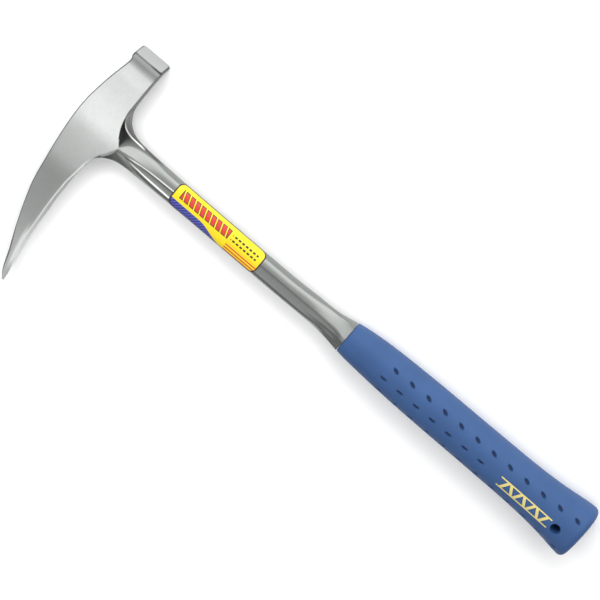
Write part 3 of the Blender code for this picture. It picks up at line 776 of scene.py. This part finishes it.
def steel(name, tone, rough_low, rough_high, grain, along_head=False):
    """Steel with fine grain, soft cloudy streaks, worn patches and painted highlights along the arrises.
    Along the head its tone follows a ramp of painted light and shade; elsewhere shade is painted darker on
    the neck's flank toward the poll."""
    graph = Graph(name)
    coords = graph.node("ShaderNodeTexCoord").outputs["Object"]
    stretch = graph.node("ShaderNodeMapping", {"Vector": coords, "Scale": STREAK_STRETCH}).outputs["Vector"]
    fine = graph.noise(stretch, GRAIN_SCALE, 4, 0.6)
    cloud = graph.noise(coords, CLOUD_SCALE, 3)
    mottle = graph.noise(stretch, MOTTLE_SCALE, 3, 0.65)
    streaks = graph.math("MULTIPLY_ADD", mottle, 0.6, graph.math("MULTIPLY", cloud, 0.4))
    worn = graph.math("MULTIPLY_ADD", fine, 0.4, graph.math("MULTIPLY", mottle, 0.6))
    colour = graph.mix(streaks, *[scaled(tone, share) for share in TONE_SPREAD])
    painted_highlight = graph.node("ShaderNodeAttribute", attribute_name="painted_highlight").outputs["Fac"]
    if not along_head:
        # Painted shade: the steel is darkened on the neck's flank toward the poll
        painted_shade = graph.node("ShaderNodeAttribute", attribute_name="painted_shade").outputs["Fac"]
        colour = graph.mix(painted_shade, colour, scaled(tone, PAINTED_SHADE_TONE))
    else:
        # Painted light and shade: the tone along the head is multiplied by a ramp that stands in for its
        # reflections
        place_on_head = graph.node("ShaderNodeSeparateXYZ", {0: coords}).outputs["Y"]
        low, high = across_head(HEAD_PAINTED_LIGHT[0][0]), across_head(HEAD_PAINTED_LIGHT[-1][0])
        share = graph.node("ShaderNodeMapRange", {"Value": place_on_head, "From Min": low, "From Max": high})
        painted_tones = graph.node("ShaderNodeValToRGB", {"Fac": share.outputs["Result"]})
        set_stops(painted_tones.color_ramp, HEAD_PAINTED_LIGHT, HEAD_PAINTED_LIGHT[0][0], HEAD_PAINTED_LIGHT[-1][0], 1.0)
        colour = graph.node("ShaderNodeMix", {"Factor": 1.0, 6: colour, 7: painted_tones.outputs["Color"]},
                            data_type="RGBA", blend_type="MULTIPLY").outputs[2]
    # Painted highlights: white, less metallic lines along the arrises
    colour = graph.mix(painted_highlight, colour, PAINTED_HIGHLIGHT_COLOUR)
    rough = graph.ramp(worn, 0.3, 0.7, rough_low, rough_high)
    rough = graph.math("MULTIPLY_ADD", painted_highlight, PAINTED_HIGHLIGHT_ROUGHER, rough)
    graph.set(Base_Color=colour, Metallic=graph.ramp(painted_highlight, 0.0, 1.0, 1.0, PAINTED_HIGHLIGHT_METAL), Roughness=rough)
    graph.bump(fine, grain, STEEL_BUMP)
    return graph.material


def set_stops(ramp, pairs, low, high, peak):
    """Grey stops of a colour ramp from (place, level) pairs."""
    while len(ramp.elements) < len(pairs):
        ramp.elements.new(0.5)
    for stop, (where, level) in zip(ramp.elements, pairs):
        stop.position = (where - low) / (high - low)
        stop.color = (*[level / peak] * 3, 1)


def across_head(p):
    """A place along the head as the frame's y."""
    return (place() @ Vector((0, p, 0))).y


def vinyl():
    """Moulded vinyl with fine pores, cloudy blues and shade painted darker in the recesses."""
    graph = Graph("blue_vinyl")
    coords = graph.node("ShaderNodeTexCoord").outputs["Object"]
    pores = graph.noise(coords, MOTTLE_SCALE, 3, 0.7)
    cloud = graph.noise(coords, VINYL_CLOUD_SCALE, 2)
    share = graph.math("MULTIPLY_ADD", pores, 0.6, graph.math("MULTIPLY", cloud, 0.4))
    blue = graph.mix(share, *[linear(*colour) for colour in VINYL_BLUES])
    painted_shade = graph.node("ShaderNodeAttribute", attribute_name="painted_shade").outputs["Fac"]
    # Painted shade: the blue darkens toward the middle of each recess
    graph.set(Base_Color=graph.mix(graph.ramp(painted_shade, 0.25, 0.85), blue, linear(*VINYL_PAINTED_SHADE)))
    graph.set(Roughness=graph.ramp(pores, 0.3, 0.7, 0.55, 0.7))
    graph.bump(pores, 0.5, VINYL_BUMP)
    return graph.material


def foil():
    """Pale gold foil with a fine flake."""
    graph = Graph("gold_foil")
    coords = graph.node("ShaderNodeTexCoord").outputs["Object"]
    flake = graph.noise(coords, MOTTLE_SCALE, 3, 0.7)
    graph.set(Base_Color=graph.mix(flake, *[linear(*colour) for colour in FOIL_GOLDS]), Metallic=0.5)
    graph.set(Roughness=graph.ramp(flake, 0.3, 0.7, 0.3, 0.5))
    graph.bump(flake, 0.2, FOIL_BUMP)
    return graph.material


def film(width):
    """The sticker's print: a yellow field with a dark rim, hatched band, straight rules, bars and dashes."""
    graph = Graph("label_film")
    uv = graph.node("ShaderNodeUVMap", uv_map="print").outputs["UV"]
    split = graph.node("ShaderNodeSeparateXYZ", {0: uv})
    along, across = split.outputs[0], split.outputs[1]
    length = LABEL_END - LABEL_START

    def inside(value, low, high):
        rise = graph.ramp(value, low - PRINT_SOFT, low + PRINT_SOFT)
        fall = graph.ramp(value, high - PRINT_SOFT, high + PRINT_SOFT, 1.0, 0.0)
        return graph.math("MULTIPLY", rise, fall)

    def block(reach_along, reach_across):
        return graph.math("MULTIPLY", inside(along, *reach_along), inside(across, *reach_across))

    # The rim, from how far each place lies outside the rectangle through the rounded corners' centres
    from_ends = graph.math("ABSOLUTE", graph.math("SUBTRACT", along, length / 2))
    from_sides = graph.math("ABSOLUTE", graph.math("SUBTRACT", across, width / 2))
    out_x = graph.math("MAXIMUM", graph.math("SUBTRACT", from_ends, length / 2 - LABEL_CORNER), 0.0)
    out_y = graph.math("MAXIMUM", graph.math("SUBTRACT", from_sides, width / 2 - LABEL_CORNER), 0.0)
    squares = graph.math("ADD", graph.math("MULTIPLY", out_x, out_x), graph.math("MULTIPLY", out_y, out_y))
    rim = graph.ramp(graph.math("SQRT", squares), *RIM_EDGE)

    yellow = linear(236, 210, 10)
    navy = linear(44, 44, 130)
    red = linear(200, 50, 40)
    pale_blue = linear(96, 104, 180)
    black = linear(30, 28, 30)

    colour = graph.mix(graph.noise(uv, 1.7), yellow, linear(230, 202, 4))

    # Hatched band along the pick side
    edge = graph.math("ADD", across, graph.ramp(along, *BAND_TAPER))
    band = graph.ramp(edge, *BAND_EDGE)
    hatch = graph.ramp(graph.math("PINGPONG", graph.math("ADD", along, across), HATCH_PITCH), *HATCH_EDGE)
    colour = graph.mix(band, colour, graph.mix(hatch, navy, pale_blue))

    # Straight rules beyond the band
    rule_zone = graph.math("MULTIPLY", graph.ramp(along, *RULES_ALONG), graph.ramp(across, *RULES_ACROSS))
    rules = graph.ramp(graph.math("PINGPONG", across, RULE_PITCH), *RULE_EDGE)
    colour = graph.mix(graph.math("MULTIPLY", rule_zone, rules), colour, red)

    # Slanted bars with a dark outline, then two rows of short dark dashes
    slant = graph.math("MULTIPLY_ADD", across, BAR_SLANT, along)
    bar = graph.math("PINGPONG", slant, BAR_PITCH)
    outlines = graph.math("MULTIPLY", graph.ramp(bar, *BAR_OUTLINE_EDGE), block(*BAR_OUTLINES))
    bars = graph.math("MULTIPLY", graph.ramp(bar, *BAR_EDGE), block(*BARS))
    colour = graph.mix(outlines, colour, black)
    colour = graph.mix(bars, colour, red)
    dash = graph.ramp(graph.math("PINGPONG", along, DASH_PITCH), *DASH_EDGE)
    rows = graph.math("MAXIMUM", *[inside(across, *row) for row in DASH_ROWS])
    dashes = graph.math("MULTIPLY", inside(along, *DASHES_ALONG), rows)
    colour = graph.mix(graph.math("MULTIPLY", dash, dashes), colour, black)
    colour = graph.mix(rim, colour, black)
    graph.set(Base_Color=colour, Coat_Weight=0.08, Coat_Roughness=0.25)
    graph.set(Roughness=graph.ramp(graph.noise(uv, 3.0), 0.3, 0.7, 0.36, 0.46))
    return graph.material


# ---- Studio ---------------------------------------------------------------------------------------


def build_floor():
    """A plain sheet of pale paper under the hammer."""
    mesh = bpy.data.meshes.new("floor")
    half = FLOOR_HALF
    mesh.from_pydata([(-half, -half, 0), (half, -half, 0), (half, half, 0), (-half, half, 0)], [],
                     [(0, 1, 2, 3)])
    floor = bpy.data.objects.new("floor", mesh)
    bpy.context.scene.collection.objects.link(floor)
    graph = Graph("paper")
    coords = graph.node("ShaderNodeTexCoord").outputs["Object"]
    fibre = graph.noise(coords, FIBRE_SCALE, 3)
    graph.set(Base_Color=graph.mix(fibre, *PAPER_TONES))
    graph.set(Roughness=graph.ramp(fibre, 0.3, 0.7, 0.8, 0.95))
    floor.data.materials.append(graph.material)


def add_light(name, location, size, energy):
    """A soft area light aimed at the middle of the hammer and hidden from mirror reflections."""
    light = bpy.data.lights.new(name, "AREA")
    light.shape = "RECTANGLE"
    light.size, light.size_y = size
    light.energy = energy
    obj = bpy.data.objects.new(name, light)
    obj.location = location
    obj.rotation_euler = Vector(location).to_track_quat("Z", "Y").to_euler()
    obj.visible_glossy = False
    bpy.context.scene.collection.objects.link(obj)


def light_studio():
    """A wrap-round studio: its brightness changes with the angle round the hammer's long axis, and fades
    toward both ends of it."""
    world = bpy.data.worlds.new("studio")
    bpy.context.scene.world = world
    world.use_nodes = True
    tree = world.node_tree
    nodes, links = tree.nodes, tree.links
    coords = nodes.new("ShaderNodeTexCoord")
    split = nodes.new("ShaderNodeSeparateXYZ")
    links.new(coords.outputs["Generated"], split.inputs[0])
    angle = nodes.new("ShaderNodeMath")
    angle.operation = "ARCTAN2"
    links.new(split.outputs["Y"], angle.inputs[0])
    links.new(split.outputs["Z"], angle.inputs[1])
    turn = nodes.new("ShaderNodeMapRange")
    turn.inputs["From Min"].default_value = -math.pi
    turn.inputs["From Max"].default_value = math.pi
    links.new(angle.outputs[0], turn.inputs["Value"])
    ramp = nodes.new("ShaderNodeValToRGB")
    links.new(turn.outputs["Result"], ramp.inputs["Fac"])
    set_stops(ramp.color_ramp, SKY_STOPS, -180, 180, SKY_PEAK)
    ends = nodes.new("ShaderNodeMapRange")
    ends.interpolation_type = "SMOOTHSTEP"
    ends.inputs["From Min"].default_value = SKY_FADE[0]
    ends.inputs["From Max"].default_value = SKY_FADE[1]
    ends.inputs["To Min"].default_value = SKY_PEAK
    ends.inputs["To Max"].default_value = SKY_PEAK * SKY_END
    reach = nodes.new("ShaderNodeMath")
    reach.operation = "ABSOLUTE"
    links.new(split.outputs["X"], reach.inputs[0])
    links.new(reach.outputs[0], ends.inputs["Value"])
    links.new(ramp.outputs["Color"], nodes["Background"].inputs["Color"])
    links.new(ends.outputs["Result"], nodes["Background"].inputs["Strength"])
    for name, location, size, energy in LIGHTS:
        add_light(name, location, size, energy)
    bpy.context.scene.view_settings.view_transform = "Standard"


def build_camera():
    """A long lens at the photo's viewing angle."""
    camera = bpy.data.cameras.new("photo_view")
    camera.lens = CAMERA_LENS
    camera.sensor_width = CAMERA_SENSOR
    lean = math.radians(CAMERA_LEAN)
    roll = math.radians(CAMERA_ROLL)
    down_handle = Vector((1, 0, 0))
    to_poll = Vector((0, math.cos(lean), -math.sin(lean)))
    back = Vector((0, math.sin(lean), math.cos(lean)))
    right = math.cos(roll) * down_handle + math.sin(roll) * to_poll
    up = math.cos(roll) * to_poll - math.sin(roll) * down_handle
    turn = Matrix((right, up, back)).transposed().to_4x4()
    spot = Vector(CAMERA_TARGET) + CAMERA_DISTANCE * back
    obj = bpy.data.objects.new("photo_view", camera)
    tilt = Matrix.Rotation(-REST_TILT, 4, "Y")
    obj.matrix_world = Matrix.Translation(place() @ spot) @ tilt @ turn
    bpy.context.scene.collection.objects.link(obj)
    bpy.context.scene.camera = obj


# ---- Finishes, painted shade and painted highlights kept on the meshes ----------------------------


def mark_finishes_and_painted_shade(body):
    """Ground satin on the head, dark steel painted as shade along the top's edges, round the poll and under
    it, and a polished neck and shank.
    """
    faces = body.data.polygons
    s, p, z = design_rows(faces, "center").T
    facing_s = read_rows(faces, "normal")[:, 0]
    under = np.where(p < NOSE_P, smooth(UNDER_PICK, p), smooth(UNDER_POLL, p))
    on_head = s < under + SKIN
    faces_butt = (p > PAINTED_SHADE_UNDER_P) & (facing_s > FACES_BUTT)
    top_edge = (facing_s < -FACES_CROWN) & (np.abs(z) > smooth(THICKNESS, p) - EDGE_BAND)
    chamfer = (p > POLL_START) & (p < FACE_P - FACE_SKIN)
    finish = on_head * SATIN_SLOT
    # Painted shade: dark steel under the poll, along the top's rounded edges and on the poll's chamfer,
    # standing in for dark reflections
    finish[on_head & (faces_butt | top_edge | chamfer)] = PAINTED_SHADE_SLOT
    faces.foreach_set("material_index", finish.astype(np.int32))


def store(mesh, name, values):
    mesh.attributes.new(name, "FLOAT", "POINT").data.foreach_set("value", values.astype(np.float32))


def mark_painted_light(body):
    """Stores the painted highlights along the arrises of the neck, fuller and pick, and the painted shade on
    the neck's flank beside the nose.
    """
    s, p, z = design_rows(body.data.vertices, "co").T
    height = np.abs(z)
    # Painted highlights along the neck's creases, the fuller's edges and the pick's cheeks
    painted_highlight = np.zeros_like(s)
    crease_angle = BAND_SHARE * math.pi / 2
    for angle, reach in zip((crease_angle, math.pi - crease_angle), CREASE_WINDOWS):
        crease_p, crease_z = shank_section(s, np.full((len(s), 1), angle))
        away = np.hypot(p - crease_p[:, 0], height - crease_z[:, 0])
        painted_highlight = np.maximum(painted_highlight, bell(away, PAINTED_HIGHLIGHT_HALF) * window(s, *reach))
    top = height > FULLER_ABOVE * smooth(RIDGE, s)
    for side in (1, -1):
        away = p - FULLER_P - side * smooth(FULLER_HALF, s)
        painted_highlight = np.maximum(painted_highlight, bell(away, PAINTED_HIGHLIGHT_HALF) * top * window(s, *FULLER_WINDOW))
    edge = smooth(UNDER_PICK, p) - s
    on_cheek = height > smooth(THICKNESS, p) - CHEEK_BAND
    for (from_edge, half, strength), reach in ((PICK_HIGHLIGHT, PICK_WINDOW), (STREAK_HIGHLIGHT, STREAK_WINDOW)):
        painted_highlight = np.maximum(painted_highlight, strength * bell(edge - from_edge, half) * window(p, *reach) * on_cheek)
    store(body.data, "painted_highlight", painted_highlight)

    # Painted shade on the neck's flank toward the poll, beside the nose
    rise = (p - smooth(PAINTED_SHADE_EDGE, s)) / PAINTED_SHADE_SOFT
    store(body.data, "painted_shade", np.clip(rise, 0, 1) * window(s, *PAINTED_SHADE_WINDOW))


def mark_recess_shade(grip):
    """Stores how far each point of the grip lies inside a recess, for the shade painted darker there on the
    vinyl.
    """
    points = design_rows(grip.data.vertices, "co")
    painted_shade = np.zeros(len(points))
    for side, reach, _ in recess_reach(points):
        inside = (reach < 1) & (points[:, 2] * side > 0)
        painted_shade = np.maximum(painted_shade, (1 - np.clip(reach, 0, 1)) * inside)
    store(grip.data, "painted_shade", painted_shade)


# ---- Assembly -------------------------------------------------------------------------------------


def finish_piece(obj, node, slot, *materials):
    """Gives a piece its materials and its place in the frame."""
    obj.data.materials.clear()
    for material in materials:
        obj.data.materials.append(material)
    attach(obj, "root")
    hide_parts(node)


def main():
    body = build_head()
    combine(body, build_shank(), "UNION")
    shade(body, BODY_SHARP)
    polished = steel("polished_steel", *POLISHED)
    satin = steel("satin_steel", *SATIN, along_head=True)
    # The dark steel is painted shade, standing in for dark reflections round the poll and under it
    dark = steel("painted_shade_edges", *DARK_PAINTED_SHADE)
    finish_piece(body, "steel_forging", "forged_steel", polished, satin, dark)
    mark_finishes_and_painted_shade(body)
    mark_painted_light(body)

    grip = build_grip()
    mark_recess_shade(grip)
    shade(grip, GRIP_SHARP)
    finish_piece(grip, "grip", "blue_vinyl", vinyl())

    label, width = build_label()
    shade(label, SHEET_SHARP)
    finish_piece(label, "shank_label", "label_film", film(width))

    stamp = build_stamp()
    shade(stamp, SHEET_SHARP)
    finish_piece(stamp, "grip_emblem", "gold_foil", foil())

    build_floor()
    light_studio()
    build_camera()


main()
